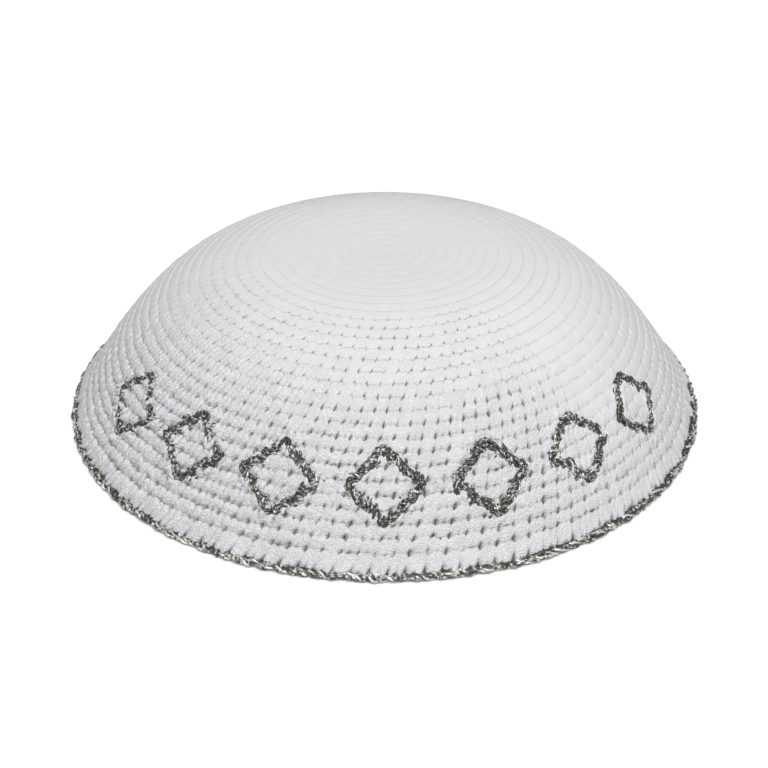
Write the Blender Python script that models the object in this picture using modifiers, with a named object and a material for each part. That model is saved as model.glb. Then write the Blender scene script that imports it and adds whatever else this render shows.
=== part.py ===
"""A crocheted skullcap, resting on its rim. Metres, +Z up, origin on the floor under its centre."""

import math
from itertools import accumulate

import bpy
from mathutils import Vector

# The cap lying flat, as worn by a grown person
RIM_DIAMETER = 0.180
CAP_HEIGHT = 0.0465

# The knotted cotton wall of the crown, and the rounds that it is worked in
WALL_THICKNESS = 0.0026
ROUND_PITCH = 0.0035
RIDGE_DEPTH = 0.0005

# The metallic round along the rim
EDGING_HEIGHT = 0.0034
EDGING_THICKNESS = 0.0038
EDGING_FOOT_WIDTH = 0.0022
EDGING_FOOT_INSET = 0.0008

# The metallic marks on the front, measured along the slope of the crown from the edging upwards
MOTIF_COUNT = 7
MOTIF_SPACING = math.radians(20)
MOTIF_WIDTH = 0.0190
MOTIF_HEIGHT = 0.0180
MOTIF_RISE = 0.0105
THREAD_DIAMETER = 0.0020
MOTIF_CORNER_RADIUS = 0.0022

# The gap that neighbouring pieces keep
CLEARANCE = 0.0003

# The side view of the dome: nearly flat on top, then straight flanks that flare out to the rim
FLATNESS = 4.0
FLARE = 1.2

# The lower end of the wall is drawn in to this share of its thickness
CROWN_FOOT_SHARE = 0.8

TURN_STEPS = 48
MERGE_DISTANCE = 0.00001
PROFILE_SAMPLES = 400
INNER_POINTS = 14
THREAD_POINTS_PER_SIDE = 4
CORNER_POINTS = 3
THREAD_ROUNDNESS = 2
FRONT = math.radians(-90)

# The round section of the edging, down its outer side: how high, and how far out towards the rim
EDGING_SECTION = (
    # share of its height, share of its lean
    (1.00, 0.00),
    (0.78, 0.42),
    (0.50, 0.80),
    (0.22, 1.00),
)

COTTON_WHITE = (0.82, 0.83, 0.84, 1)
METALLIC_THREAD = (0.42, 0.42, 0.40, 1)


class Profile:
    """The outer side of the dome, read by its distance along the slope from the floor upwards."""

    def __init__(self):
        angles = [0.5 * math.pi * i / PROFILE_SAMPLES for i in range(PROFILE_SAMPLES + 1)]
        self.radii = [0.5 * RIM_DIAMETER * math.cos(a) ** (2 / FLATNESS) for a in angles]
        self.heights = [CAP_HEIGHT * math.sin(a) ** (2 * FLARE) for a in angles]
        steps = [
            math.hypot(self.radii[i + 1] - self.radii[i], self.heights[i + 1] - self.heights[i])
            for i in range(PROFILE_SAMPLES)
        ]
        self.lengths = [0.0, *accumulate(steps)]
        self.total = self.lengths[-1]

    def at(self, distance):
        """(radius, height) at a distance along the slope."""
        distance = min(max(distance, 0.0), self.total)
        i = next(k for k in range(1, PROFILE_SAMPLES + 1) if self.lengths[k] >= distance)
        span = self.lengths[i] - self.lengths[i - 1]
        share = (distance - self.lengths[i - 1]) / span
        radius = self.radii[i - 1] + share * (self.radii[i] - self.radii[i - 1])
        height = self.heights[i - 1] + share * (self.heights[i] - self.heights[i - 1])
        return radius, height

    def distance_at_height(self, height):
        """The distance along the slope at which the dome reaches a height."""
        i = next(k for k in range(1, PROFILE_SAMPLES + 1) if self.heights[k] >= height)
        share = (height - self.heights[i - 1]) / (self.heights[i] - self.heights[i - 1])
        return self.lengths[i - 1] + share * (self.lengths[i] - self.lengths[i - 1])

    def normal(self, distance):
        """The direction (radial, upward) that faces out of the dome."""
        reach = self.total / PROFILE_SAMPLES
        low_radius, low_height = self.at(distance - reach)
        high_radius, high_height = self.at(distance + reach)
        along = Vector((high_radius - low_radius, high_height - low_height)).normalized()
        return Vector((along.y, -along.x))

    def offset(self, distance, outwards):
        """(radius, height) of a point lifted off the dome along its normal."""
        radius, height = self.at(distance)
        normal = self.normal(distance)
        return radius + outwards * normal.x, height + outwards * normal.y


def clear_scene():
    for obj in list(bpy.data.objects):
        bpy.data.objects.remove(obj, do_unlink=True)


def new_collection(name):
    collection = bpy.data.collections.new(name)
    bpy.context.scene.collection.children.link(collection)
    return collection


def new_material(name, colour, roughness, metallic):
    material = bpy.data.materials.new(name)
    material.use_nodes = True
    shader = material.node_tree.nodes["Principled BSDF"]
    shader.inputs["Base Color"].default_value = colour
    shader.inputs["Roughness"].default_value = roughness
    shader.inputs["Metallic"].default_value = metallic
    return material


def turned(name, outline, closed, material, collection):
    """A solid of revolution about Z from (radius, height) points that run down its outer side."""
    mesh = bpy.data.meshes.new(name)
    count = len(outline)
    edges = [(i, i + 1) for i in range(count - 1)]
    if closed:
        edges.append((count - 1, 0))
    mesh.from_pydata([(radius, 0, height) for radius, height in outline], edges, [])
    obj = bpy.data.objects.new(name, mesh)
    collection.objects.link(obj)
    screw = obj.modifiers.new("turn", "SCREW")
    screw.axis = "Z"
    screw.angle = 2 * math.pi
    screw.steps = TURN_STEPS
    screw.render_steps = TURN_STEPS
    screw.use_merge_vertices = True
    screw.merge_threshold = MERGE_DISTANCE
    screw.use_smooth_shade = True
    mesh.materials.append(material)
    return obj


def crown_outline(profile):
    """Down the ridged outer side from the eye, across the foot and up the plain inner side."""
    foot_height = EDGING_HEIGHT + CLEARANCE
    foot = profile.distance_at_height(foot_height)
    rounds = round((profile.total - foot) / ROUND_PITCH)
    pitch = (profile.total - foot) / rounds
    outline = [(0, CAP_HEIGHT)]
    for number in range(rounds - 1, -1, -1):
        valley = foot + number * pitch
        ridge = valley + 0.5 * pitch
        if number < rounds - 1:
            outline.append(profile.at(ridge))
        if number:
            outline.append(profile.offset(valley, -RIDGE_DEPTH))
    foot_radius = profile.at(foot)[0] - RIDGE_DEPTH
    outline.append((foot_radius, foot_height))
    outline.append((foot_radius - CROWN_FOOT_SHARE * WALL_THICKNESS, foot_height))
    first = foot + WALL_THICKNESS
    for i in range(INNER_POINTS):
        distance = first + (profile.total - first) * i / INNER_POINTS
        outline.append(profile.offset(distance, -WALL_THICKNESS))
    outline.append((0, CAP_HEIGHT - WALL_THICKNESS))
    return outline


def make_crown(profile, material, collection):
    return turned("crown", crown_outline(profile), False, material, collection)


def make_edging(profile, material, collection):
    """The metallic round: it leans with the dome above it and stands on a flat foot."""
    rim_radius = 0.5 * RIM_DIAMETER
    top_radius = profile.at(profile.distance_at_height(EDGING_HEIGHT))[0] - RIDGE_DEPTH
    side = [
        (top_radius + out * (rim_radius - top_radius), up * EDGING_HEIGHT)
        for up, out in EDGING_SECTION
    ]
    foot_radius = rim_radius - EDGING_FOOT_INSET
    foot = [(foot_radius, 0), (foot_radius - EDGING_FOOT_WIDTH, 0)]
    inner_side = [(radius - EDGING_THICKNESS, height) for radius, height in reversed(side)]
    return turned("edging", side + foot + inner_side, True, material, collection)


def rounded_lozenge(width, height, corner_radius):
    """Points (across, up) round an upright lozenge whose corners are arcs, anticlockwise."""
    corners = [
        Vector((0.5 * width, 0)),
        Vector((0, 0.5 * height)),
        Vector((-0.5 * width, 0)),
        Vector((0, -0.5 * height)),
    ]
    points = []
    for i, corner in enumerate(corners):
        before = (corners[i - 1] - corner).normalized()
        after = (corners[(i + 1) % 4] - corner).normalized()
        half = 0.5 * before.angle(after)
        inset = corner_radius / math.tan(half)
        start = corner + inset * before
        end = corner + inset * after
        for k in range(CORNER_POINTS):
            share = k / (CORNER_POINTS - 1)
            toward = start.lerp(end, share).lerp(corner, 2 * share * (1 - share))
            points.append(toward)
        following = corners[(i + 1) % 4]
        next_half = 0.5 * (corner - following).angle(corners[(i + 2) % 4] - following)
        stop = following - corner_radius / math.tan(next_half) * after
        for k in range(1, THREAD_POINTS_PER_SIDE):
            points.append(end.lerp(stop, k / THREAD_POINTS_PER_SIDE))
    return points


def make_motif(number, profile, material, collection):
    """One mark: a lozenge of metallic thread that lies on the ridges of the crown."""
    turn = FRONT + (number - 0.5 * (MOTIF_COUNT - 1)) * MOTIF_SPACING
    middle = profile.distance_at_height(EDGING_HEIGHT) + MOTIF_RISE + 0.5 * MOTIF_HEIGHT
    middle_radius = profile.at(middle)[0]
    lift = 0.5 * THREAD_DIAMETER + CLEARANCE
    name = f"motif_{number + 1}"
    curve = bpy.data.curves.new(name, "CURVE")
    curve.dimensions = "3D"
    curve.bevel_depth = 0.5 * THREAD_DIAMETER
    curve.bevel_resolution = THREAD_ROUNDNESS
    outline = rounded_lozenge(MOTIF_WIDTH, MOTIF_HEIGHT, MOTIF_CORNER_RADIUS)
    spline = curve.splines.new("POLY")
    spline.points.add(len(outline) - 1)
    for point, (across, up) in zip(spline.points, outline):
        radius, height = profile.offset(middle + up, lift)
        angle = turn + across / middle_radius
        point.co = (radius * math.cos(angle), radius * math.sin(angle), height, 1)
    spline.use_cyclic_u = True
    spline.use_smooth = True
    curve.materials.append(material)
    obj = bpy.data.objects.new(name, curve)
    collection.objects.link(obj)
    return obj


def main():
    clear_scene()
    collection = new_collection("skullcap")
    cotton = new_material("cotton", COTTON_WHITE, 0.9, 0)
    metallic = new_material("metallic_thread", METALLIC_THREAD, 0.4, 0.8)
    profile = Profile()
    make_crown(profile, cotton, collection)
    make_edging(profile, metallic, collection)
    for number in range(MOTIF_COUNT):
        make_motif(number, profile, metallic, collection)


main()
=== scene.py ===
"""Dresses a crocheted skullcap: white cotton rounds, a metallic edging and metallic lozenges."""

import logging
import math
from dataclasses import dataclass, field
from enum import Enum
from typing import Any

import bmesh
import bpy
import numpy as np
from mathutils import Matrix, Vector


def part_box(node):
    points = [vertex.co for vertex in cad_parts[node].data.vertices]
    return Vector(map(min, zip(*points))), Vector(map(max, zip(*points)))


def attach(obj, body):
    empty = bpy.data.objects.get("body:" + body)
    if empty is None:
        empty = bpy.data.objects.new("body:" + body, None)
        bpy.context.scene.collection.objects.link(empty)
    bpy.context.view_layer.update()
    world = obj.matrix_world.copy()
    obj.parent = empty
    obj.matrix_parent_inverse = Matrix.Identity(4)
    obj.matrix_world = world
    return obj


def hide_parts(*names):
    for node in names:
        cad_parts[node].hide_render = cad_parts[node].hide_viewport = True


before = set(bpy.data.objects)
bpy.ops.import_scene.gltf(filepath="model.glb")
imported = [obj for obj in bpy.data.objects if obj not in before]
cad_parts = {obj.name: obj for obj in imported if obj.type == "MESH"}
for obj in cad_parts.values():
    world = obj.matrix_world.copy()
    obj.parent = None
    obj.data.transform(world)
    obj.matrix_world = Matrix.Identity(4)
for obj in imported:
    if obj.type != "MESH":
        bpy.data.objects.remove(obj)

LOG = logging.getLogger("skullcap")
BODY = "root"
MILLIMETRE = 0.001
RING_GAP = 1e-6
SEAM_GAP = 1e-7


class Slot(Enum):
    """The material slots of the record."""

    COTTON = "cotton"
    METALLIC = "metallic_thread"


class Value:
    """A shader number that Python arithmetic combines."""

    def __init__(self, graph: "Graph", socket: bpy.types.NodeSocket) -> None:
        """Wraps an output socket.

        Args:
            graph: The material's graph, which makes the Math nodes.
            socket: The output that this value is read from.
        """
        self.graph = graph
        self.socket = socket

    def maths(self, operation: str, *terms: Any) -> "Value":
        """Adds a Math node.

        Args:
            operation: The node's operation.
            terms: Numbers or values, in the order of the node's sockets.

        Returns:
            The node's result.
        """
        node = self.graph.node("ShaderNodeMath", {"operation": operation}, dict(enumerate(terms)))
        return Value(self.graph, node.outputs[0])

    def __add__(self, other: Any) -> "Value":
        """The sum."""
        return self.maths("ADD", self, other)

    def __radd__(self, other: Any) -> "Value":
        """The sum, with the number first."""
        return self.maths("ADD", other, self)

    def __sub__(self, other: Any) -> "Value":
        """The difference."""
        return self.maths("SUBTRACT", self, other)

    def __rsub__(self, other: Any) -> "Value":
        """The difference, with the number first."""
        return self.maths("SUBTRACT", other, self)

    def __mul__(self, other: Any) -> "Value":
        """The product."""
        return self.maths("MULTIPLY", self, other)

    def __rmul__(self, other: Any) -> "Value":
        """The product, with the number first."""
        return self.maths("MULTIPLY", other, self)

    def ramp(self, low: float, high: float) -> "Value":
        """A smooth step.

        Args:
            low: Where it leaves 0.
            high: Where it reaches 1.

        Returns:
            The share from 0 to 1.
        """
        settings = {"interpolation_type": "SMOOTHSTEP", "clamp": True}
        node = self.graph.node("ShaderNodeMapRange", settings, {0: self, 1: low, 2: high})
        return Value(self.graph, node.outputs[0])


class Graph:
    """The node tree of one material, with its Principled shader."""

    def __init__(self, name: str) -> None:
        """Makes a material of this name.

        Args:
            name: The finish that the material is.
        """
        self.material = bpy.data.materials.new(name)
        self.material.use_nodes = True
        self.tree = self.material.node_tree
        self.shader = self.tree.nodes["Principled BSDF"]

    def node(self, kind: str, settings: dict | None = None, inputs: dict | None = None) -> Any:
        """Makes a node, sets it and then fills its sockets.

        Args:
            kind: The node's type.
            settings: Its own properties, by name.
            inputs: Numbers, colours, values or sockets, by socket name or index.

        Returns:
            The node.
        """
        made = self.tree.nodes.new(kind)
        for key, setting in (settings or {}).items():
            setattr(made, key, setting)
        for key, given in (inputs or {}).items():
            self.fill(made.inputs[key], given)
        return made

    def fill(self, socket: bpy.types.NodeSocket, given: Any) -> None:
        """Links or sets one socket.

        Args:
            socket: The input to fill.
            given: A number, a colour, a value or an output socket.
        """
        source = given.socket if isinstance(given, Value) else given
        if isinstance(source, bpy.types.NodeSocket):
            self.tree.links.new(source, socket)
        else:
            socket.default_value = source

    def noise(self, place: Any, scale: float, detail: float = 2.0) -> Value:
        """Smooth noise round 0.5.

        Args:
            place: The vector socket that it is read at.
            scale: Its waves for each unit of that vector.
            detail: Its octaves.

        Returns:
            The noise.
        """
        inputs = {"Vector": place, "Scale": scale, "Detail": detail}
        return Value(self, self.node("ShaderNodeTexNoise", None, inputs).outputs["Fac"])

    def blend(self, share: Any, low: Any, high: Any) -> bpy.types.NodeSocket:
        """A mix of two colours.

        Args:
            share: How much of the second one.
            low: The colour at 0.
            high: The colour at 1.

        Returns:
            The colour socket.
        """
        inputs = {0: share, 6: low, 7: high}
        return self.node("ShaderNodeMix", {"data_type": "RGBA"}, inputs).outputs[2]

    def place(self) -> bpy.types.NodeSocket:
        """Object coordinates, in metres."""
        return self.node("ShaderNodeTexCoord").outputs["Object"]

    def attribute(self, name: str) -> Value:
        """A number that the mesh carries.

        Args:
            name: The attribute's name.

        Returns:
            The number.
        """
        node = self.node("ShaderNodeAttribute", {"attribute_name": name})
        return Value(self, node.outputs["Fac"])

    def relief(self, height: Any, strength: float, distance: float) -> None:
        """Feeds a bump to the shader.

        Args:
            height: The bump's height, from 0 to 1.
            strength: How much of it counts.
            distance: The height of 1, in metres.
        """
        inputs = {"Height": height, "Strength": strength, "Distance": distance}
        bump = self.node("ShaderNodeBump", None, inputs)
        self.fill(self.shader.inputs["Normal"], bump.outputs[0])


SHADE_ATTRIBUTE = "shade"
FLUFF_ATTRIBUTE = "fluff"
TONE_ATTRIBUTE = "tone"


@dataclass(frozen=True)
class CottonFinish:
    """Matt cotton, with painted shade, nearly black at most, in its gaps and creases."""

    name: str = "white_cotton"
    light: tuple[float, float, float, float] = (0.70, 0.705, 0.72, 1)
    shaded: tuple[float, float, float, float] = (0.58, 0.584, 0.594, 1)
    # painted shade: the near-black colour that gaps and creases are darkened towards
    painted_shade_colour: tuple[float, float, float, float] = (0.02, 0.02, 0.02, 1)
    roughness: float = 0.9
    roughness_spread: float = 0.1
    sheen: float = 0.15
    sheen_roughness: float = 0.5
    octaves: float = 3.0
    mottle_scale: float = 260.0
    mottle_ramp: tuple[float, float] = (0.35, 0.65)
    mottle_strength: float = 0.6
    least_mottle: float = 0.2
    fluffy_mottle: float = 0.5
    fibre_scale: float = 1900.0
    fibre_ramp: tuple[float, float] = (0.3, 0.7)
    fibre_depth: float = 0.00025
    fibre_relief: float = 0.8
    grain_strength: float = 0.7
    gap_fray: float = 0.8

    def build(self) -> bpy.types.Material:
        """Makes the material.

        Returns:
            The cotton, whose fluff and painted shade the mesh gives.
        """
        graph = Graph(self.name)
        place = graph.place()
        fibre = graph.noise(place, self.fibre_scale, self.octaves)
        mottle = graph.noise(place, self.mottle_scale, self.octaves).ramp(*self.mottle_ramp)
        fluff = graph.attribute(FLUFF_ATTRIBUTE)
        grain = (fibre.ramp(*self.fibre_ramp) - 0.5) * fluff + 0.5
        mottled = (mottle - 0.5) * (fluff * self.fluffy_mottle + self.least_mottle)
        tone = mottled * self.mottle_strength + grain * self.grain_strength
        tone = tone + 0.5 * (1 - self.grain_strength)
        cotton = graph.blend(tone, self.shaded, self.light)
        # painted shade: the mesh's shade attribute darkens the cotton towards nearly black, frayed
        # by the fibre noise
        dark = graph.attribute(SHADE_ATTRIBUTE)
        colour = graph.blend(dark + (fibre - 0.5) * dark * self.gap_fray, cotton, self.painted_shade_colour)
        graph.fill(graph.shader.inputs["Base Color"], colour)
        smoothest = self.roughness - 0.5 * self.roughness_spread
        rough = fibre * self.roughness_spread + smoothest
        graph.fill(graph.shader.inputs["Roughness"], rough)
        graph.shader.inputs["Sheen Weight"].default_value = self.sheen
        graph.shader.inputs["Sheen Roughness"].default_value = self.sheen_roughness
        graph.relief(grain, self.fibre_relief, self.fibre_depth)
        return graph.material


@dataclass(frozen=True)
class MetallicFinish:
    """Twisted foil thread, black and silver by strand, with painted glints: silver specks from
    noise.
    """

    name: str = "silver_black_thread"
    silver: tuple[float, float, float, float] = (0.70, 0.69, 0.66, 1)
    black: tuple[float, float, float, float] = (0.045, 0.045, 0.038, 1)
    flake_scale: float = 1300.0
    glint_contrast: float = 3.6
    flake_depth: float = 0.00020
    flake_relief: float = 0.9
    octaves: float = 3.0
    metallic: float = 0.35
    dull_roughness: float = 0.5
    shine: float = 0.15

    def build(self) -> bpy.types.Material:
        """Makes the material.

        Returns:
            The thread, whose tones the mesh gives.
        """
        graph = Graph(self.name)
        flake = graph.noise(graph.place(), self.flake_scale, self.octaves)
        tone = graph.attribute(TONE_ATTRIBUTE)
        # painted glints: flake noise pushes the strand tones up into silver specks and down to
        # black between
        tone_and_glint = (tone + (flake - 0.5) * self.glint_contrast).ramp(0.0, 1.0)
        colour = graph.blend(tone_and_glint, self.black, self.silver)
        graph.fill(graph.shader.inputs["Base Color"], colour)
        graph.shader.inputs["Metallic"].default_value = self.metallic
        rough = self.dull_roughness - tone_and_glint * self.shine
        graph.fill(graph.shader.inputs["Roughness"], rough)
        graph.relief(flake, self.flake_relief, self.flake_depth)
        return graph.material


@dataclass(frozen=True)
class FloorFinish:
    """A plain, nearly white studio floor."""

    name: str = "studio_floor"
    pale: tuple[float, float, float, float] = (0.96, 0.96, 0.96, 1)
    paler: tuple[float, float, float, float] = (0.97, 0.97, 0.97, 1)
    scale: float = 8.0
    roughness: float = 0.9

    def build(self) -> bpy.types.Material:
        """Makes the material.

        Returns:
            The floor's finish.
        """
        graph = Graph(self.name)
        cloud = graph.noise(graph.place(), self.scale)
        graph.fill(graph.shader.inputs["Base Color"], graph.blend(cloud, self.pale, self.paler))
        graph.shader.inputs["Roughness"].default_value = self.roughness
        return graph.material


@dataclass
class Dome:
    """The outer side of the crown.

    Its sizes come from the frame, and flatness and flare give its side view. Foot share is how
    far up the edging the last white round ends, and nothing white goes below the lowest height.
    """

    rim_radius: float
    height: float
    edging_height: float
    flatness: float = 4.0
    flare: float = 1.2
    foot_share: float = 0.82
    lowest: float = 0.0003
    samples: int = 1200
    lengths: np.ndarray = field(init=False)
    radii: np.ndarray = field(init=False)
    heights: np.ndarray = field(init=False)
    normals: np.ndarray = field(init=False)

    def __post_init__(self) -> None:
        """Samples the side view by its length along the slope, from the floor upwards."""
        angle = np.linspace(0, 0.5 * math.pi, self.samples + 1)
        self.radii = self.rim_radius * np.maximum(np.cos(angle), 0) ** (2 / self.flatness)
        self.heights = self.height * np.sin(angle) ** (2 * self.flare)
        steps = np.hypot(np.diff(self.radii), np.diff(self.heights))
        self.lengths = np.concatenate([[0], np.cumsum(steps)])
        along = np.stack([np.gradient(self.radii), np.gradient(self.heights)], 1)
        along /= np.linalg.norm(along, axis=1)[:, None]
        self.normals = np.stack([along[:, 1], -along[:, 0]], 1)

    @property
    def total(self) -> float:
        """The length of the slope from the floor to the eye."""
        return float(self.lengths[-1])

    @property
    def foot(self) -> float:
        """The length along the slope at which the last white round ends, over the edging."""
        covered = self.foot_share * self.edging_height
        return float(np.interp(covered, self.heights, self.lengths))

    def side(self, length: np.ndarray, lift: np.ndarray) -> tuple[np.ndarray, np.ndarray]:
        """Points of the side view.

        Args:
            length: How far along the slope, from the floor upwards.
            lift: How far out of the dome.

        Returns:
            Their radii and heights.
        """
        radius = np.interp(length, self.lengths, self.radii)
        height = np.interp(length, self.lengths, self.heights)
        outward = np.interp(length, self.lengths, self.normals[:, 0])
        upward = np.interp(length, self.lengths, self.normals[:, 1])
        return radius + lift * outward, height + lift * upward

    def points(self, length: np.ndarray, turn: np.ndarray, lift: np.ndarray) -> np.ndarray:
        """Points in space.

        Args:
            length: How far along the slope, from the floor upwards.
            turn: The angle round the cap, in radians from +X.
            lift: How far out of the dome.

        Returns:
            One row of x, y and z for each point.
        """
        radius, height = self.side(length, lift)
        height = np.maximum(height, self.lowest)
        return np.stack([radius * np.cos(turn), radius * np.sin(turn), height], -1)


def new_object(name: str, mesh: bpy.types.Mesh, material: bpy.types.Material) -> bpy.types.Object:
    """Links a mesh to the scene.

    Args:
        name: The piece's name.
        mesh: Its mesh.
        material: Its finish.

    Returns:
        The object.
    """
    piece = bpy.data.objects.new(name, mesh)
    mesh.materials.append(material)
    bpy.context.scene.collection.objects.link(piece)
    return piece


def hand_over(piece: bpy.types.Object, nodes: list[str]) -> None:
    """Ties a finished piece to the frame.

    Args:
        piece: The finished piece.
        nodes: The solids that it stands for.
    """
    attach(piece, BODY)
    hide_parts(*nodes)
    LOG.info("%s: %d faces", piece.name, len(piece.data.polygons))


def turned_sheet(name: str, line: bmesh.types.BMesh, steps: int) -> bpy.types.Mesh:
    """Turns a line once round the cap and keeps the sheet that it sweeps.

    Args:
        name: The mesh's name.
        line: The line's points and edges, in the plane of X and Z. It is used up.
        steps: How many steps it is turned in.

    Returns:
        The mesh, facing out.
    """
    bmesh.ops.spin(
        line,
        geom=line.verts[:] + line.edges[:],
        cent=(0, 0, 0),
        axis=(0, 0, 1),
        angle=2 * math.pi,
        steps=steps,
        use_merge=True,
    )
    bmesh.ops.remove_doubles(line, verts=line.verts[:], dist=RING_GAP)
    bmesh.ops.recalc_face_normals(line, faces=line.faces[:])
    data = bpy.data.meshes.new(name)
    line.to_mesh(data)
    line.free()
    data.shade_smooth()
    return data


def smooth_step(low: float, high: float, value: Any) -> Any:
    """A smooth step from 0 to 1.

    Args:
        low: Where it leaves 0.
        high: Where it reaches 1.
        value: Where it is read.

    Returns:
        The share.
    """
    share = np.clip((value - low) / (high - low), 0, 1)
    return share * share * (3 - 2 * share)


@dataclass(frozen=True)
class StitchRow:
    """One line across a stitch, from its tucked-in head down to its tucked-in tip.

    Along is in rounds from the stitch's upper end, lift in millimetres out of the dome, and dark
    is how much painted shade the cotton has there. Each is given in the middle of the stitch and
    at the joint with its neighbour, which is narrower the sharper the row is. Knob is how far a
    knobby stitch swells there.
    """

    along: float
    lift: float
    dark: float
    joint_along: float
    joint_lift: float
    joint_dark: float
    sharpness: float
    knob: float


STITCH_ROWS = (
    # along, lift, dark (its painted shade), and the same at the joint, then sharpness and knob
    StitchRow(-0.02, -1.25, 1.00, 0.26, -1.40, 1.00, 3.0, 0.00),
    StitchRow(-0.14, -0.75, 0.95, 0.15, -1.20, 1.00, 4.0, 0.00),
    StitchRow(-0.16, -0.32, 0.80, 0.12, -0.85, 1.00, 4.0, 0.05),
    StitchRow(-0.10, 0.00, 0.22, 0.14, -0.45, 0.80, 4.5, 0.16),
    StitchRow(0.05, 0.12, 0.00, 0.20, 0.02, 0.00, 4.5, 0.30),
    StitchRow(0.25, 0.14, 0.00, 0.30, 0.14, 0.00, 4.0, 0.42),
    StitchRow(0.46, 0.10, 0.00, 0.48, 0.10, 0.00, 4.0, 0.40),
    StitchRow(0.66, 0.02, 0.00, 0.63, -0.12, 0.30, 6.0, 0.22),
    StitchRow(0.80, -0.08, 0.00, 0.75, -0.72, 1.00, 6.5, 0.00),
    StitchRow(0.90, -0.22, 0.34, 0.86, -1.10, 1.00, 5.0, -0.12),
    StitchRow(1.03, -0.50, 0.85, 1.02, -1.30, 1.00, 4.5, -0.12),
    StitchRow(1.22, -1.05, 1.00, 1.34, -1.40, 1.00, 4.0, 0.00),
)


@dataclass
class LozengeBand:
    """Where the lozenges lie on the front of the dome.

    Rise is how far up the slope from the edging they start.
    """

    dome: Dome
    count: int = 7
    spacing: float = math.radians(20)
    width: float = 0.0190
    height: float = 0.0180
    rise: float = 0.0105

    @property
    def middle(self) -> float:
        """How far up the slope the lozenges' middles lie."""
        edging_top = np.interp(self.dome.edging_height, self.dome.heights, self.dome.lengths)
        return float(edging_top) + self.rise + 0.5 * self.height

    @property
    def radius(self) -> float:
        """The dome's radius at the lozenges' middles."""
        return float(np.interp(self.middle, self.dome.lengths, self.dome.radii))

    def turn(self, number: int) -> float:
        """The angle of one lozenge's middle round the cap."""
        return -0.5 * math.pi + (number - 0.5 * (self.count - 1)) * self.spacing

    def distance(self, length: np.ndarray, angle: np.ndarray) -> np.ndarray:
        """How far points of the dome lie from the nearest lozenge's line.

        Args:
            length: How far along the slope, from the floor upwards.
            angle: The angle round the cap.

        Returns:
            The distances in metres, a positive one outside the lozenge.
        """
        nearest = np.full(np.shape(angle), np.inf)
        slope = 1 / math.hypot(2 / self.width, 2 / self.height)
        for number in range(self.count):
            apart = (angle - self.turn(number) + math.pi) % (2 * math.pi) - math.pi
            across = np.abs(apart) * self.radius / (0.5 * self.width)
            up = np.abs(length - self.middle) / (0.5 * self.height)
            away = (across + up - 1) * slope
            nearest = np.where(np.abs(away) < np.abs(nearest), away, nearest)
        return nearest


@dataclass
class Columns:
    """The columns of one round's sheet, in order round the cap.

    Across is a column's place in its stitch, from -0.5 at one joint towards 0.5 at the next. The
    half widths are in stitches, and the dip is how far a stitch sinks between its two lobes.
    """

    count: int
    turn: float
    across: np.ndarray
    arch_half_width: tuple[float, float] = (0.10, 0.32)
    notch_half_width: float = 0.075
    lobe_dip: float = 0.5

    @property
    def stitch(self) -> np.ndarray:
        """The stitch that each column belongs to."""
        return np.repeat(np.arange(self.count), len(self.across) // self.count)

    @property
    def angle(self) -> np.ndarray:
        """The angle of each column round the cap."""
        return self.turn + (self.stitch + self.across) * 2 * math.pi / self.count

    @property
    def edge(self) -> np.ndarray:
        """How near each column is to a joint: 0 in the middle of a stitch and 1 at the joint."""
        return np.abs(2 * self.across)

    @property
    def arch(self) -> np.ndarray:
        """How near each column is to the middle of its stitch: 1 there and 0 at its sides."""
        return 1 - smooth_step(*self.arch_half_width, np.abs(self.across))

    @property
    def notch(self) -> np.ndarray:
        """A narrow peak in the middle of each stitch."""
        return np.exp(-((self.across / self.notch_half_width) ** 2))

    def by_stitch(self, values: np.ndarray) -> np.ndarray:
        """Spreads one value a stitch over the columns, fading out at the joints."""
        return values[self.stitch] * (1 - self.edge**2)

    def at_joint(self, values: np.ndarray) -> np.ndarray:
        """Gives each column the value of its nearest joint."""
        return values[np.where(self.across > 0, (self.stitch + 1) % self.count, self.stitch)]

    def by_joint(self, values: np.ndarray) -> np.ndarray:
        """Spreads one value a joint over the columns, fading out at the stitches' middles."""
        return self.at_joint(values) * self.edge**2

    def at_lobe(self, values: np.ndarray) -> np.ndarray:
        """Gives each column the value of its half of the stitch."""
        return values[2 * self.stitch + (self.across > 0)]

    def by_lobe(self, values: np.ndarray) -> np.ndarray:
        """Spreads one value a half stitch over the columns, lower where the halves meet."""
        return self.at_lobe(values) * (1 - self.edge**4) * (1 - self.lobe_dip * self.arch)


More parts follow.
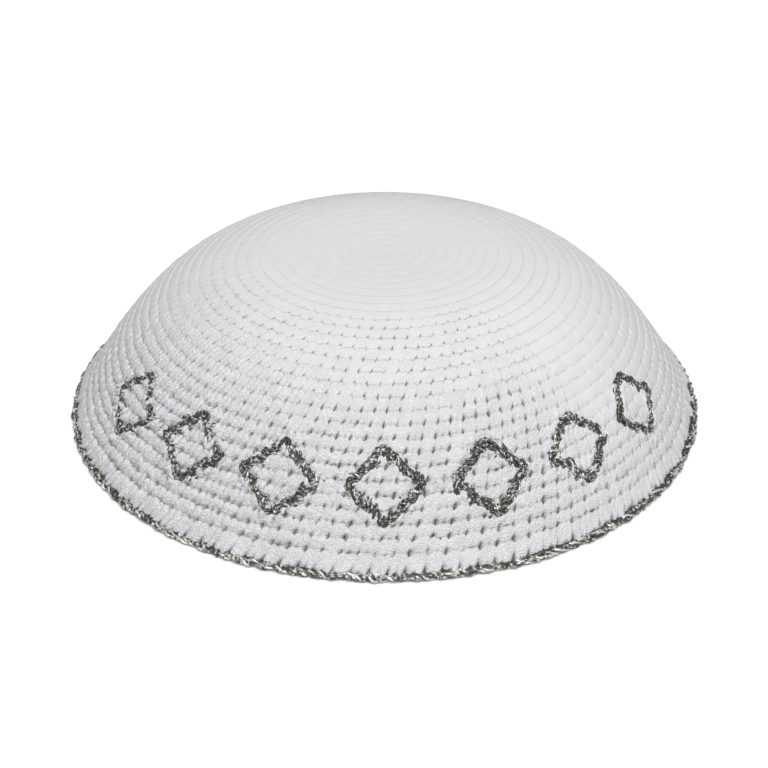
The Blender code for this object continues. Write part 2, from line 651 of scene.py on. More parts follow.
@dataclass(frozen=True)
class StitchLook:
    """How the stitches swell, gape and wander.

    A pair of rounds is where something starts to show and where it is full, counted from the
    eye. Bearings are in degrees: the front at 90, the left side at 180. Lifts, depths and what
    lies round the marks are in millimetres, sway in stitches and rounds, and the rest are shares.
    """

    # The sides where the rounds lie smooth: a bearing, how far they do so wholly and at all
    calm_sides: tuple[tuple[float, float, float], ...] = ((0, 38, 62), (202, 14, 44))
    calm_rounds: tuple[float, float] = (4, 18)
    calm_loss: float = 0.65
    calm_loss_rounds: tuple[float, float] = (21, 27)
    calm_relief: float = 0.75
    calm_line: float = 0.5
    calm_closing: float = 0.95
    calm_fuzz_loss: float = 0.7
    # The front left, where each stitch swells into two knobs
    knob_side: tuple[float, float, float, float] = (92, 122, 156, 192)
    knob_rounds: tuple[float, float] = (12, 26)
    least_knob: float = 0.1
    knob_bulge: float = 1.1
    knob_groove: tuple[float, float] = (1.9, 1.15)
    knob_pit_loss: float = 0.3
    knob_line_loss: float = 0.4
    # How far the rounds stand out: on the flat top, plain at the front, and where it is knobby
    swelling_rounds: tuple[float, float] = (9, 24)
    flat_relief: float = 0.09
    plain_relief: float = 0.225
    knob_relief: float = 0.70
    # How unevenly they are worked: first the joints, then the stitches
    sway_across: tuple[float, float] = (0.06, 0.04)
    sway_along: tuple[float, float] = (0.04, 0.05)
    plumpness: float = 0.05
    plump_above: float = -0.5
    lobe_plumpness: float = 0.17
    fuzz: float = 0.055
    knob_fuzz: float = 0.06
    # The gaps at the joints: a least value, and what a wide open one adds
    pit_chance: tuple[float, float] = (1.4, 0.9)
    pit_rounds: tuple[float, float] = (10, 22)
    pit_depth: tuple[float, float] = (0.3, 0.9)
    pit_shade: tuple[float, float] = (-0.1, 3.0)
    pit_shade_rounds: tuple[float, float] = (8.5, 12)
    pit_scallop: float = 0.35
    # How far round from the front the gaps' painted shade is full, and how sharp the joints are
    front_reach: tuple[float, float] = (0.1, 0.9)
    front_right: float = 0.15
    back_pits: float = 0.5
    sharp_rounds: tuple[float, float] = (13, 24)
    narrow_joint: tuple[float, float] = (2.4, 1.4)
    gaping_joint: tuple[float, float] = (1.3, 0.75)
    # The notch in a stitch's middle
    notch_chance: tuple[float, float] = (1.4, 1.6)
    notch_rounds: tuple[float, float] = (14, 22)
    notch_shade: float = 0.55
    plain_notch: float = 0.6
    notch_along: float = 0.6
    notch_depth: float = 0.7
    # The shaded line under each round: whole higher up, broken into arches lower down
    line_shade: tuple[float, float] = (0.42, 0.46)
    whole_shade: float = 0.64
    arch_shade: float = 1.8
    line_rounds: tuple[float, float] = (5, 13)
    broken_line_rounds: tuple[float, float] = (18, 24)
    least_line: float = 0.06
    # The tips of the last round, which hang over the edging, longest just behind the sides
    hanging_tips: tuple[float, float] = (0.26, 0.62)
    few_long_tips: float = 1.5
    side_hang: float = -0.30
    back_hang: float = 0.42
    back_reach: tuple[float, float, float, float] = (-0.06, 0.14, 0.6, 0.85)
    tip_lift: float = 0.9
    tip_rows: tuple[float, float] = (0.4, 0.9)
    tips_above: float = -0.4
    # The cotton under the marks, and the brow that stands up beside them
    mark_depth: float = 0.45
    mark_half_width: float = 1.1
    mark_cover: float = 0.34
    brow_lift: float = 0.22
    brow_away: float = 1.9
    brow_half_width: float = 0.7
    brow_fuzz: float = 4.0
    brow_plumpness: float = 2.5
    # How much the fibres stand up
    fluff_rounds: tuple[float, float] = (8, 20)
    least_fluff: float = 0.12
    calm_fluff: float = 0.2

    def calm(self, degrees: np.ndarray, number: int) -> np.ndarray:
        """How smooth a round lies: fully so on the cap's two sides, less in its low rounds.

        Args:
            degrees: The bearings of its columns.
            number: The round, from the eye.

        Returns:
            The shares, one a column.
        """
        share = np.zeros_like(degrees)
        for bearing, whole, none in self.calm_sides:
            apart = np.abs((degrees - bearing + 180) % 360 - 180)
            share = np.maximum(share, 1 - smooth_step(whole, none, apart))
        return share * (1 - self.calm_loss * smooth_step(*self.calm_loss_rounds, number))

    def knobby(self, degrees: np.ndarray, number: int) -> np.ndarray:
        """How knobby the stitches of a round are: fully so at the front left.

        Args:
            degrees: The bearings of its columns.
            number: The round, from the eye.

        Returns:
            The shares, one a column.
        """
        starts, full, fades, ends = self.knob_side
        share = smooth_step(starts, full, degrees) * (1 - smooth_step(fades, ends, degrees))
        share = self.least_knob + (1 - self.least_knob) * share
        return share * smooth_step(*self.knob_rounds, number)


@dataclass
class Strip:
    """The sheet of one round: its points, painted shade and fluff, by row and column."""

    points: np.ndarray
    dark: np.ndarray
    fluff: np.ndarray

    def closed(self) -> "Strip":
        """The same strip with its first column again at its end, and its lowest row first."""
        parts = (self.points, self.dark, self.fluff)
        return Strip(*(np.concatenate([part, part[:, :1]], 1)[::-1] for part in parts))


class Round:
    """One round of stitches, worked out along the columns of its sheet."""

    def __init__(
        self, number: int, last: bool, columns: Columns, look: StitchLook, chance: Any
    ) -> None:
        """Works out how the round is worked and draws what differs between its stitches.

        Args:
            number: The round, from the eye.
            last: Whether it is the one that hangs over the edging.
            columns: The columns of its sheet.
            look: How its stitches swell, gape and wander.
            chance: The source of its small irregularities.
        """
        self.number = number
        self.columns = columns
        self.look = look
        degrees = np.degrees(-columns.angle) % 360
        self.calm = look.calm(degrees, number)
        self.knobby = look.knobby(degrees, number) * (1 - self.calm)
        self.full = smooth_step(*look.swelling_rounds, number)
        self.relief = self.row_relief()
        self.sway(chance)
        self.pits(chance)
        self.shades(chance)
        self.surface(chance, last)

    def row_relief(self) -> np.ndarray:
        """How far the round's rows stand out.

        Returns:
            The shares, one a column.
        """
        look = self.look
        worked = look.plain_relief + look.knob_relief * self.knobby
        relief = look.flat_relief + (1 - look.flat_relief) * self.full * worked
        calm = self.calm * smooth_step(*look.calm_rounds, self.number)
        return relief + (look.calm_relief - relief) * calm

    def sway(self, chance: Any) -> None:
        """Draws how the stitches and joints stray from their places.

        Args:
            chance: The source of random numbers.
        """
        columns, look, count = self.columns, self.look, self.columns.count
        joints, stitches = look.sway_across
        across = joints * columns.by_joint(chance.standard_normal(count))
        across = across + stitches * columns.by_stitch(chance.standard_normal(count))
        self.across = self.full * across
        joints, stitches = look.sway_along
        along = stitches * columns.by_stitch(chance.standard_normal(count))
        along = along + joints * columns.by_joint(chance.standard_normal(count))
        self.along = self.full * along
        plump = look.plumpness * self.full * columns.by_stitch(chance.standard_normal(count))
        lobes = columns.by_lobe(chance.standard_normal(2 * count))
        self.plump = plump + look.lobe_plumpness * self.knobby * lobes

    def pits(self, chance: Any) -> None:
        """Draws how wide every joint gapes, how sharp it is and how dark its painted shade is.

        Args:
            chance: The source of random numbers.
        """
        columns, look, number = self.columns, self.look, self.number
        open_share = columns.at_joint(chance.beta(*look.pit_chance, columns.count))
        least, more = look.pit_depth
        calm = 1 - look.calm_closing * self.calm
        depth = least + more * open_share
        self.pit_depth = depth * calm * smooth_step(*look.pit_rounds, number)
        blunt = smooth_step(*look.sharp_rounds, number)
        narrowest, wider = look.narrow_joint
        shut, gape = look.gaping_joint
        self.sharpening = (narrowest - wider * blunt) * (shut - gape * open_share)
        # painted shade in the gaps: darker the wider a joint gapes, fuller at the front, less
        # where the stitches are knobby or the rounds calm
        least, more = look.pit_shade
        dark = np.clip(least + more * open_share, 0, 1)
        facing = -np.sin(columns.angle) + look.front_right * np.cos(columns.angle)
        front = smooth_step(*look.front_reach, facing)
        front = look.back_pits + (1 - look.back_pits) * front
        dark = dark * front * smooth_step(*look.pit_shade_rounds, number)
        self.painted_pit_shade = dark * (1 - look.knob_pit_loss * self.knobby) * (1 - self.calm)

    def shades(self, chance: Any) -> None:
        """Draws the notch in each stitch's middle and the painted shade of the line under it.

        Args:
            chance: The source of random numbers.
        """
        columns, look, number = self.columns, self.look, self.number
        notch = chance.beta(*look.notch_chance, columns.count)[columns.stitch] * columns.notch
        notch = notch * smooth_step(*look.notch_rounds, number)
        notch = notch * (look.plain_notch + (1 - look.plain_notch) * self.knobby)
        self.notch = notch * (1 - self.calm)
        mean, spread = look.line_shade
        line = mean + spread * chance.standard_normal(columns.count)
        line = np.clip(line, look.least_line, 1)[columns.stitch]
        line = line + (look.calm_line - line) * self.calm
        whole = 1 - smooth_step(*look.broken_line_rounds, number) * (1 - self.calm)
        line = line * smooth_step(*look.line_rounds, number)
        arches = look.arch_shade * (1 - whole) * columns.arch
        line = line * (look.whole_shade * whole + arches)
        self.line = line * (1 - look.knob_line_loss * self.knobby)

    def surface(self, chance: Any, last: bool) -> None:
        """Draws the fuzz, the tips over the edging and the stitches over the marks.

        Args:
            chance: The source of random numbers.
            last: Whether the round is the one that hangs over the edging.
        """
        columns, look = self.columns, self.look
        fuzz = chance.standard_normal((len(STITCH_ROWS), len(columns.across)))
        loose = look.fuzz + look.knob_fuzz * self.knobby
        self.fuzz = fuzz * loose * self.full * (1 - look.calm_fuzz_loss * self.calm)
        halves = 2 * columns.count
        reach = columns.by_lobe(chance.uniform(0, 1, halves) ** look.few_long_tips)
        starts, full, fades, ends = look.back_reach
        back = np.sin(columns.angle)
        behind = smooth_step(starts, full, back) * (1 - smooth_step(fades, ends, back))
        side = np.maximum(np.cos(columns.angle), 0) ** 2 * (1 - behind)
        least, more = look.hanging_tips
        longer = look.side_hang * side + look.back_hang * behind
        self.hang = (least + more * reach + longer) * last
        self.covering = columns.at_lobe(chance.uniform(0, 1, halves)) > look.mark_cover

    def place(self, row: StitchRow, roughness: np.ndarray) -> tuple[np.ndarray, np.ndarray]:
        """Where one row of the sheet runs.

        Args:
            row: The row.
            roughness: Its fuzz.

        Returns:
            How far it is along the slope, in rounds, and its lift in millimetres.
        """
        columns, look = self.columns, self.look
        joint = columns.edge ** (row.sharpness * self.sharpening)
        scallop = np.clip(look.pit_scallop + (1 - look.pit_scallop) * self.pit_depth, 0, 1)
        to_joint = joint * scallop + look.notch_along * self.notch
        hang = self.hang * smooth_step(*look.tip_rows, row.along)
        along = row.along + (row.joint_along - row.along) * to_joint + hang
        plump = self.plump * (row.lift > look.plump_above)
        lift = row.lift * self.relief + plump + roughness
        sunk = joint * self.pit_depth + look.notch_depth * self.notch
        lift = lift + (row.joint_lift - row.lift) * sunk
        at_sides, at_middle = look.knob_groove
        bulge = look.knob_bulge - at_sides * columns.edge**5 - at_middle * columns.arch**2
        lift = lift + row.knob * self.knobby * bulge
        tip = look.tip_lift * hang * (row.lift > look.tips_above)
        return along + self.along, lift + tip

    def painted_shade(self, row: StitchRow) -> np.ndarray:
        """How much painted shade the cotton has along one row: in the line, the gaps and the
        notches.

        Args:
            row: The row.

        Returns:
            The shares, one a column.
        """
        joint = self.columns.edge ** (row.sharpness * self.sharpening)
        line = row.dark * self.line
        pit = row.joint_dark * np.maximum(self.painted_pit_shade, line)
        notch = row.joint_dark * self.look.notch_shade * self.notch
        return line * (1 - joint) + pit * joint + notch

    def fluff(self) -> np.ndarray:
        """How much the fibres stand up.

        Returns:
            The shares, one a column.
        """
        look = self.look
        share = smooth_step(*look.fluff_rounds, self.number)
        share = look.least_fluff + (1 - look.least_fluff) * share
        return share * (1 - (1 - look.calm_fluff) * self.calm)

    def near_marks(self, away: np.ndarray, roughness: np.ndarray) -> np.ndarray:
        """How the cotton gives way under the metallic thread and stands up beside it.

        Args:
            away: How far the points lie from the nearest mark's line, in millimetres.
            roughness: Their fuzz.

        Returns:
            The lifts, in millimetres.
        """
        look = self.look
        brow = np.exp(-(((away - look.brow_away) / look.brow_half_width) ** 2))
        loose = look.brow_fuzz * roughness + look.brow_plumpness * self.plump
        raised = brow * (look.brow_lift + loose)
        groove = np.exp(-((away / look.mark_half_width) ** 4))
        return raised - look.mark_depth * self.covering * groove


@dataclass
class Crown:
    """The white dome: overlapping rounds of stitches over a ridged inner side.

    Growth is how many stitches a round gains on the one above it, up to the most, and lean how
    far a column of stitches leans from one round to the next, in stitches. Each mesh runs from one
    of the bands' rounds to the next.
    """

    dome: Dome
    band: LozengeBand
    look: StitchLook = StitchLook()
    pitch: float = 0.0035
    growth: float = 6.5
    most_stitches: int = 124
    lean: float = 0.27
    columns: tuple[float, ...] = (
        *(-0.5, -0.455, -0.395, -0.27, -0.14, -0.06),
        *(0, 0.06, 0.14, 0.27, 0.395, 0.455),
    )
    coarse_columns: tuple[float, ...] = (-0.5, -0.42, -0.22, 0, 0.22, 0.42)
    coarse_rounds: int = 15
    bands: tuple[int, ...] = (0, 15, 20, 25, 30)
    least_length: float = 0.0003
    wall: float = 0.0026
    inner_ridge: float = 0.00035
    rings_per_ridge: int = 6
    seed: int = 11

    @property
    def rounds(self) -> int:
        """How many rounds there are from the eye to the edging."""
        return round((self.dome.total - self.dome.foot) / self.pitch)

    @property
    def step(self) -> float:
        """The length of one round along the slope."""
        return (self.dome.total - self.dome.foot) / self.rounds

    def stitches(self, number: int) -> int:
        """How many stitches a round has, counted from the eye."""
        return min(round(self.growth * (number + 1)), self.most_stitches)

    def turns(self) -> list[float]:
        """The starting angles of the rounds: the columns lean a little with every round.

        Returns:
            One angle a round, from the eye.
        """
        angles = [0.0]
        for number in range(1, self.rounds):
            angles.append(angles[-1] - self.lean * 2 * math.pi / self.stitches(number))
        return angles

    def strip(self, number: int, turn: float, chance: Any) -> Strip:
        """One round laid on the dome.

        Args:
            number: The round, from the eye.
            turn: The angle at which it starts.
            chance: The source of its small irregularities.

        Returns:
            Its sheet, still open at the seam.
        """
        count = self.stitches(number)
        across = self.coarse_columns if number < self.coarse_rounds else self.columns
        columns = Columns(count, turn, np.tile(across, count))
        worked = Round(number, number == self.rounds - 1, columns, self.look, chance)
        points, dark = [], []
        for row, roughness in zip(STITCH_ROWS, worked.fuzz):
            along, lift = worked.place(row, roughness)
            length = self.dome.total - (number + along) * self.step
            length = np.clip(length, self.least_length, self.dome.total)
            aside = (worked.across - self.lean * along) * 2 * math.pi / count
            angle = columns.angle + aside
            away = np.abs(self.band.distance(length, angle)) / MILLIMETRE
            lift = lift + worked.near_marks(away, roughness)
            points.append(self.dome.points(length, angle, MILLIMETRE * lift))
            dark.append(worked.painted_shade(row))
        fluff = np.tile(worked.fluff(), (len(STITCH_ROWS), 1))
        return Strip(np.array(points), np.array(dark), fluff)

    def sheet(self, first: int, last: int, turns: list[float]) -> bpy.types.Mesh:
        """A band of rounds as one mesh: a grid for each round, bent into its strip.

        Args:
            first: Its first round, from the eye.
            last: The round after its last one.
            turns: The starting angle of every round.

        Returns:
            The mesh.
        """
        chance = np.random.default_rng(self.seed + first)
        strips = [self.strip(n, turns[n], chance).closed() for n in range(first, last)]
        grids = bmesh.new()
        for strip in strips:
            rows, width = strip.dark.shape
            bmesh.ops.create_grid(grids, x_segments=width - 1, y_segments=rows - 1, size=1)
        data = bpy.data.meshes.new(f"crown_rounds_{first + 1}_to_{last}")
        grids.to_mesh(data)
        grids.free()
        places = np.concatenate([strip.points.reshape(-1, 3) for strip in strips])
        data.vertices.foreach_set("co", places.astype(np.float32).ravel())
        # painted shade, which darkens the cotton's colour towards nearly black
        shade = data.attributes.new(SHADE_ATTRIBUTE, "FLOAT", "POINT")
        dark = np.concatenate([strip.dark.ravel() for strip in strips])
        shade.data.foreach_set("value", dark.astype(np.float32))
        loose = data.attributes.new(FLUFF_ATTRIBUTE, "FLOAT", "POINT")
        fluff = np.concatenate([strip.fluff.ravel() for strip in strips])
        loose.data.foreach_set("value", fluff.astype(np.float32))
        self.close_seams(data)
        data.shade_smooth()
        return data

    @staticmethod
    def close_seams(data: bpy.types.Mesh) -> None:
        """Joins the ends of every strip, which lie in the same place.

        Args:
            data: The mesh of the strips.
        """
        mesh = bmesh.new()
        mesh.from_mesh(data)
        bmesh.ops.remove_doubles(mesh, verts=mesh.verts[:], dist=SEAM_GAP)
        mesh.to_mesh(data)
        mesh.free()

    def inner_side(self) -> bpy.types.Mesh:
        """The hollow's wall: the backs of the rounds, a low ridge for each.

        Returns:
            The mesh, facing into the hollow.
        """
        rings = self.rings_per_ridge * self.rounds + 1
        lengths = np.linspace(self.dome.foot, self.dome.total, rings)
        phase = 2 * math.pi * (self.dome.total - lengths) / self.step
        lifts = -self.wall - self.inner_ridge * np.cos(phase) + self.inner_ridge
        line = bmesh.new()
        radii, heights = self.dome.side(lengths, lifts)
        ring = [line.verts.new((r, 0, z)) for r, z in zip(radii, heights)]
        for pair in zip(ring, ring[1:]):
            line.edges.new(pair)
        mesh = turned_sheet("crown_inner_side", line, 2 * self.most_stitches)
        mesh.flip_normals()
        return mesh

    def build(self, cotton: bpy.types.Material) -> None:
        """Makes and dresses every piece of the crown.

        Args:
            cotton: The finish of the stitches and of the inner side.
        """
        turns = self.turns()
        for first, last in zip(self.bands, self.bands[1:]):
            mesh = self.sheet(first, last, turns)
            hand_over(new_object(mesh.name, mesh, cotton), ["crown"])
        inner = new_object("crown_inner_side", self.inner_side(), cotton)
        hand_over(inner, ["crown"])


@dataclass
class Rope:
    """Metallic thread laid up from pale and dark strands along a closed route.

    It has one strand for each tone, from 0 for black to 1 for silver. Lay is the length of one
    turn, and reach how far the strands go out and sideways from the route. Wobble and stray are
    how unevenly they run, each averaged over a window of neighbouring points.
    """

    tones: tuple[float, ...]
    lay: float
    strand_radius: float
    reach: tuple[float, float]
    spacing: float = 0.0006
    wobble: float = 0.22
    stray: float = 2.5
    stray_window: int = 11
    swell_window: int = 7
    seed: int = 3

    def route_frame(self, route: np.ndarray, out: np.ndarray) -> tuple:
        """Evenly spaced points along a closed route, with the directions across it.

        Args:
            route: The route's points.
            out: The outward direction at each of them.

        Returns:
            The points, their outward and sideways directions, and their shares of the length.
        """
        closed = np.vstack([route, route[:1]])
        outs = np.vstack([out, out[:1]])
        steps = np.linalg.norm(np.diff(closed, axis=0), axis=1)
        ends = np.concatenate([[0], np.cumsum(steps)])
        share = np.linspace(0, 1, round(ends[-1] / self.spacing), endpoint=False)
        at = share * ends[-1]
        points = np.stack([np.interp(at, ends, closed[:, k]) for k in range(3)], 1)
        outward = np.stack([np.interp(at, ends, outs[:, k]) for k in range(3)], 1)
        ahead = np.roll(points, -1, 0) - np.roll(points, 1, 0)
        ahead /= np.linalg.norm(ahead, axis=1)[:, None]
        outward -= (outward * ahead).sum(1)[:, None] * ahead
        outward /= np.linalg.norm(outward, axis=1)[:, None]
        return points, outward, np.cross(ahead, outward), share, float(ends[-1])

    @staticmethod
    def sway(chance: Any, count: int, window: int) -> np.ndarray:
        """Closed smooth noise of about unit size.

        Args:
            chance: The source of random numbers.
            count: How many values.
            window: How many neighbours are averaged.

        Returns:
            The values.
        """
        raw = chance.standard_normal(count)
        kernel = np.hanning(window + 2)[1:-1]
        padded = np.concatenate([raw[-window:], raw, raw[:window]])
        return np.convolve(padded, kernel / np.linalg.norm(kernel), "same")[window:-window]

    def strands(self, route: np.ndarray, out: np.ndarray) -> list[np.ndarray]:
        """The centre lines of the strands.

        Args:
            route: The rope's own route, closed.
            out: The outward direction at each of its points.

        Returns:
            One closed line of points for each strand.
        """
        points, outward, sideways, share, length = self.route_frame(route, out)
        chance = np.random.default_rng(self.seed)
        turns = max(round(length / self.lay), 1)
        lines = []
        for number in range(len(self.tones)):
            phase = 2 * math.pi * (turns * share + number / len(self.tones))
            stray = self.stray * self.wobble
            phase = phase + stray * self.sway(chance, len(share), self.stray_window)
            swell = 1 + self.wobble * self.sway(chance, len(share), self.swell_window)
            aside = 1 + self.wobble * self.sway(chance, len(share), self.swell_window)
            a = (self.reach[0] * swell * np.cos(phase))[:, None]
            b = (self.reach[1] * aside * np.sin(phase))[:, None]
            line = points + a * outward + b * sideways
            line[:, 2] = np.maximum(line[:, 2], self.strand_radius)
            lines.append(line)
        return lines

    def mesh(self, name: str, route: np.ndarray, out: np.ndarray) -> bpy.types.Mesh:
        """The rope as a mesh whose faces carry the tones of their strands.

        Args:
            name: The mesh's name.
            route: The rope's own route, closed.
            out: The outward direction at each of its points.

        Returns:
            The smooth mesh.
        """
        curve = bpy.data.curves.new(name + "_route", "CURVE")
        curve.dimensions = "3D"
        curve.bevel_depth = self.strand_radius
        curve.bevel_resolution = 1
        for number, line in enumerate(self.strands(route, out)):
            curve.materials.append(None)
            spline = curve.splines.new("POLY")
            spline.points.add(len(line) - 1)
            flat = np.concatenate([line, np.ones((len(line), 1))], 1)
            spline.points.foreach_set("co", flat.astype(np.float32).ravel())
            spline.use_cyclic_u = True
            spline.use_smooth = True
            spline.material_index = number
        tube = bpy.data.objects.new(name + "_route", curve)
        bpy.context.scene.collection.objects.link(tube)
        graph = bpy.context.evaluated_depsgraph_get()
        data = bpy.data.meshes.new_from_object(tube.evaluated_get(graph))
        data.name = name
        bpy.data.objects.remove(tube)
        bpy.data.curves.remove(curve)
        strand = np.zeros(len(data.polygons), np.int32)
        data.polygons.foreach_get("material_index", strand)
        tone = data.attributes.new(TONE_ATTRIBUTE, "FLOAT", "FACE")
        tone.data.foreach_set("value", np.array(self.tones, np.float32)[strand])
        data.materials.clear()
        data.polygons.foreach_set("material_index", np.zeros_like(strand))
        data.shade_smooth()
        return data


@dataclass
class Edging:
    """The metallic round: strands wound along the rim over a plain ring of the same thread.

    The insets are how far the rope's core keeps off the rim and the floor, in strand radii.
    """

    dome: Dome
    tones: tuple[float, ...] = (0.8, 0.15, 0.6, 0.05, 0.7, 0.25, 0.4)
    lay: float = 0.0095
    strand_radius: float = 0.00038
    half_width: float = 0.00060
    half_height: float = 0.00060
    wobble: float = 0.44
    rim_inset: float = 1.6
    floor_inset: float = 1.3
    route_points: int = 720
    ring_half_width: float = 0.0017
    ring_half_height: float = 0.0010
    ring_sides: int = 12
    ring_steps: int = 240

    def centre(self) -> tuple[float, float]:
        """Where the rope's middle runs.

        Returns:
            Its radius and height.
        """
        radius = self.dome.rim_radius - self.half_width - self.rim_inset * self.strand_radius
        height = self.half_height + self.floor_inset * self.strand_radius
        return radius, height

    def build(self, metallic: bpy.types.Material) -> None:
        """Makes and dresses the edging.

        Args:
            metallic: The finish of its thread.
        """
        radius, height = self.centre()
        turn = np.linspace(0, 2 * math.pi, self.route_points, endpoint=False)
        out = np.stack([np.cos(turn), np.sin(turn), 0 * turn], 1)
        route = radius * out + np.array([0, 0, height])
        reach = (self.half_width, self.half_height)
        rope = Rope(self.tones, self.lay, self.strand_radius, reach, wobble=self.wobble)
        strands = new_object("edging_strands", rope.mesh("edging_strands", route, out), metallic)
        hand_over(strands, ["edging"])
        inner = new_object("edging_inner_ring", self.inner_ring(), metallic)
        hand_over(inner, ["edging"])

    def inner_ring(self) -> bpy.types.Mesh:
        """The closed ring that the strands are wound over, which fills the wall's thickness.

        Returns:
            The mesh, facing out.
        """
        radius, height = self.centre()
        mesh = bmesh.new()
        bmesh.ops.create_circle(mesh, cap_ends=False, segments=self.ring_sides, radius=1)
        oval = (self.ring_half_width, self.ring_half_height, 1)
        bmesh.ops.scale(mesh, vec=oval, verts=mesh.verts[:])
        upright = Matrix.Rotation(math.pi / 2, 3, "X")
        bmesh.ops.rotate(mesh, cent=(0, 0, 0), matrix=upright, verts=mesh.verts[:])
        middle = (radius + self.half_width - self.ring_half_width, 0, height)
        bmesh.ops.translate(mesh, vec=middle, verts=mesh.verts[:])
        return turned_sheet("edging_inner_ring", mesh, self.ring_steps)


@dataclass
class Motifs:
    """The metallic lozenges on the front.

    Wander is how far a thread strays from its lozenge's line, and softening how many points on
    either side round its corners.
    """

    dome: Dome
    band: LozengeBand
    lift: float = -0.0001
    tones: tuple[float, ...] = (0.0, 0.38, 0.1, 0.24, 0.0, 0.15)
    lay: float = 0.0060
    strand_radius: float = 0.00036
    reach: tuple[float, float] = (0.00045, 0.00095)
    wander: float = 0.00036
    wander_window: int = 13
    wander_seed: int = 50
    wobble: float = 0.34
    strand_spacing: float = 0.00045
    strand_seed: int = 20
    side_points: int = 40
    softening: int = 4
    probe: float = MILLIMETRE

    def outline(self) -> np.ndarray:
        """The lozenge laid flat, with softened corners.

        Returns:
            Its points, across and up.
        """
        corners = np.array([[0.5, 0], [0, 0.5], [-0.5, 0], [0, -0.5], [0.5, 0]])
        corners = corners * [self.band.width, self.band.height]
        side = np.linspace(0, 4, 4 * self.side_points + 1)[:-1]
        plain = np.stack([np.interp(side, range(5), corners[:, k]) for k in range(2)], 1)
        shifts = range(-self.softening, self.softening + 1)
        return sum(np.roll(plain, shift, 0) for shift in shifts) / len(shifts)

    def on_dome(self, number: int, flat: np.ndarray, lift: float) -> np.ndarray:
        """Points of one lozenge, laid on the dome.

        Args:
            number: Which lozenge, from the left.
            flat: Across and up from its middle.
            lift: How far out of the dome.

        Returns:
            Their places in space.
        """
        angle = self.band.turn(number) + flat[:, 0] / self.band.radius
        return self.dome.points(self.band.middle + flat[:, 1], angle, np.full(len(flat), lift))

    def thread(self, number: int) -> tuple[np.ndarray, np.ndarray]:
        """The route of one lozenge's thread, a little unsteady.

        Args:
            number: Which lozenge, from the left.

        Returns:
            Its points and the outward direction at each.
        """
        chance = np.random.default_rng(self.wander_seed + number)
        flat = self.outline()
        for axis in range(2):
            flat[:, axis] += self.wander * Rope.sway(chance, len(flat), self.wander_window)
        low = self.on_dome(number, flat, self.lift)
        high = self.on_dome(number, flat, self.lift + self.probe)
        return low, (high - low) / self.probe

    def build(self, metallic: bpy.types.Material) -> None:
        """Makes and dresses every lozenge.

        Args:
            metallic: The finish of its thread.
        """
        for number in range(self.band.count):
            rope = Rope(
                self.tones,
                self.lay,
                self.strand_radius,
                self.reach,
                spacing=self.strand_spacing,
                wobble=self.wobble,
                seed=self.strand_seed + number,
            )
            name = f"motif_{number + 1}"
            route, out = self.thread(number)
            piece = new_object(name + "_thread", rope.mesh(name + "_thread", route, out), metallic)
            hand_over(piece, [name])


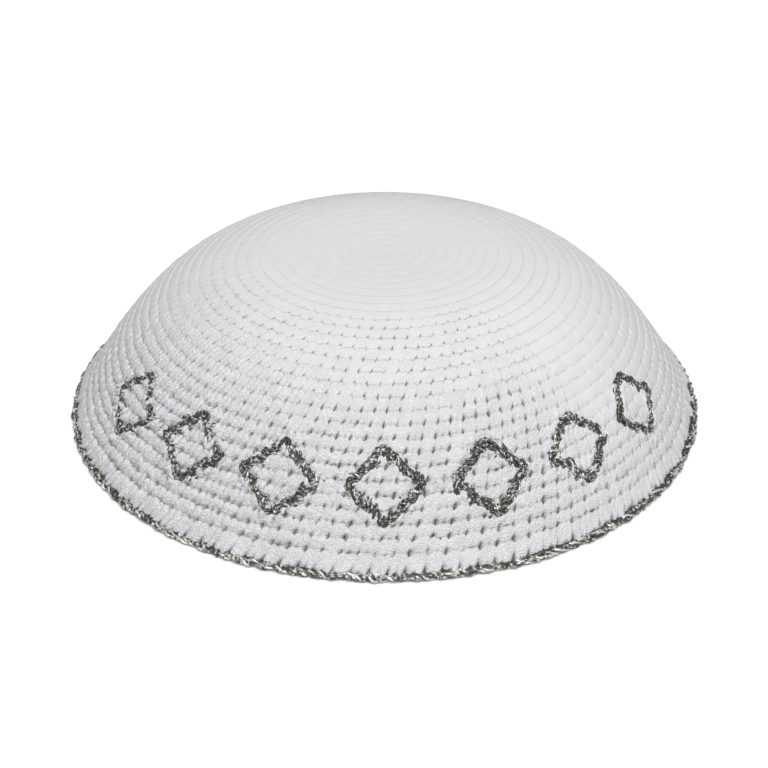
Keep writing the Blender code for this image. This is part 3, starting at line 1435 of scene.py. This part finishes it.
@dataclass
class Studio:
    """The floor, the soft lights and the camera.

    The camera's distance is in rim radii, and its pixels are those of the square picture.
    """

    dome: Dome
    elevation: float = math.radians(31.2)
    camera_distance: float = 5.0
    focal_pixels: float = 1542.0
    frame_pixels: float = 768.0
    rim_centre_pixel: tuple[float, float] = (384.9, 391.9)
    nearest_seen: float = 0.01
    floor_half_size: float = 6.0
    floor_squares: int = 8
    floor_gap: float = 0.0002
    world_strength: float = 0.17
    sun_strength: float = 3.72
    sun_blur: float = math.radians(50)
    sun_from: tuple[float, float, float] = (0.08, -0.56, 0.82)

    def floor(self, material: bpy.types.Material) -> None:
        """Lays the floor.

        Args:
            material: Its finish.
        """
        mesh = bmesh.new()
        count, size = self.floor_squares, self.floor_half_size
        bmesh.ops.create_grid(mesh, x_segments=count, y_segments=count, size=size)
        bmesh.ops.translate(mesh, vec=(0, 0, -self.floor_gap), verts=mesh.verts[:])
        data = bpy.data.meshes.new("floor")
        mesh.to_mesh(data)
        mesh.free()
        floor = new_object("floor", data, material)
        floor.visible_diffuse = False

    def sun(self) -> None:
        """Hangs a wide soft light high in front of the cap."""
        data = bpy.data.lights.new("soft_sun", "SUN")
        data.angle = self.sun_blur
        data.energy = self.sun_strength
        lamp = bpy.data.objects.new("soft_sun", data)
        bpy.context.scene.collection.objects.link(lamp)
        away = Vector(self.sun_from)
        lamp.location = away
        lamp.rotation_euler = (-away).to_track_quat("-Z", "Y").to_euler()

    def world(self) -> None:
        """Fills the room with even white light."""
        world = bpy.data.worlds.new("studio")
        world.use_nodes = True
        background = world.node_tree.nodes["Background"]
        background.inputs["Color"].default_value = (1, 1, 1, 1)
        background.inputs["Strength"].default_value = self.world_strength
        bpy.context.scene.world = world

    def camera(self) -> None:
        """Stands the camera where the photograph was taken from."""
        data = bpy.data.cameras.new("camera")
        data.sensor_fit = "HORIZONTAL"
        data.lens = data.sensor_width * self.focal_pixels / self.frame_pixels
        data.clip_start = self.nearest_seen
        eye = bpy.data.objects.new("camera", data)
        bpy.context.scene.collection.objects.link(eye)
        away = self.camera_distance * self.dome.rim_radius
        back = Vector((0, -math.cos(self.elevation), math.sin(self.elevation)))
        up = Vector((0, math.sin(self.elevation), math.cos(self.elevation)))
        half = 0.5 * self.frame_pixels
        aside = (half - self.rim_centre_pixel[0]) / self.focal_pixels * away
        above = (self.rim_centre_pixel[1] - half) / self.focal_pixels * away
        eye.location = away * back
        aim = aside * Vector((1, 0, 0)) + above * up - eye.location
        eye.rotation_euler = aim.to_track_quat("-Z", "Y").to_euler()
        bpy.context.scene.camera = eye

    def build(self, floor: bpy.types.Material) -> None:
        """Sets up the whole studio.

        Args:
            floor: The floor's finish.
        """
        self.floor(floor)
        self.world()
        self.sun()
        self.camera()
        bpy.context.scene.view_settings.view_transform = "Standard"


def main() -> None:
    """Builds the cap's pieces in order, then the studio."""
    logging.basicConfig(level=logging.INFO, format="%(name)s: %(message)s")
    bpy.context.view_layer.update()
    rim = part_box("edging")[1]
    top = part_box("crown")[1]
    dome = Dome(rim_radius=rim.x, height=top.z, edging_height=rim.z)
    band = LozengeBand(dome)
    cotton = CottonFinish().build()
    metallic = MetallicFinish().build()
    Crown(dome, band).build(cotton)
    Edging(dome).build(metallic)
    Motifs(dome, band).build(metallic)
    Studio(dome).build(FloorFinish().build())


if __name__ == "__main__":
    main()
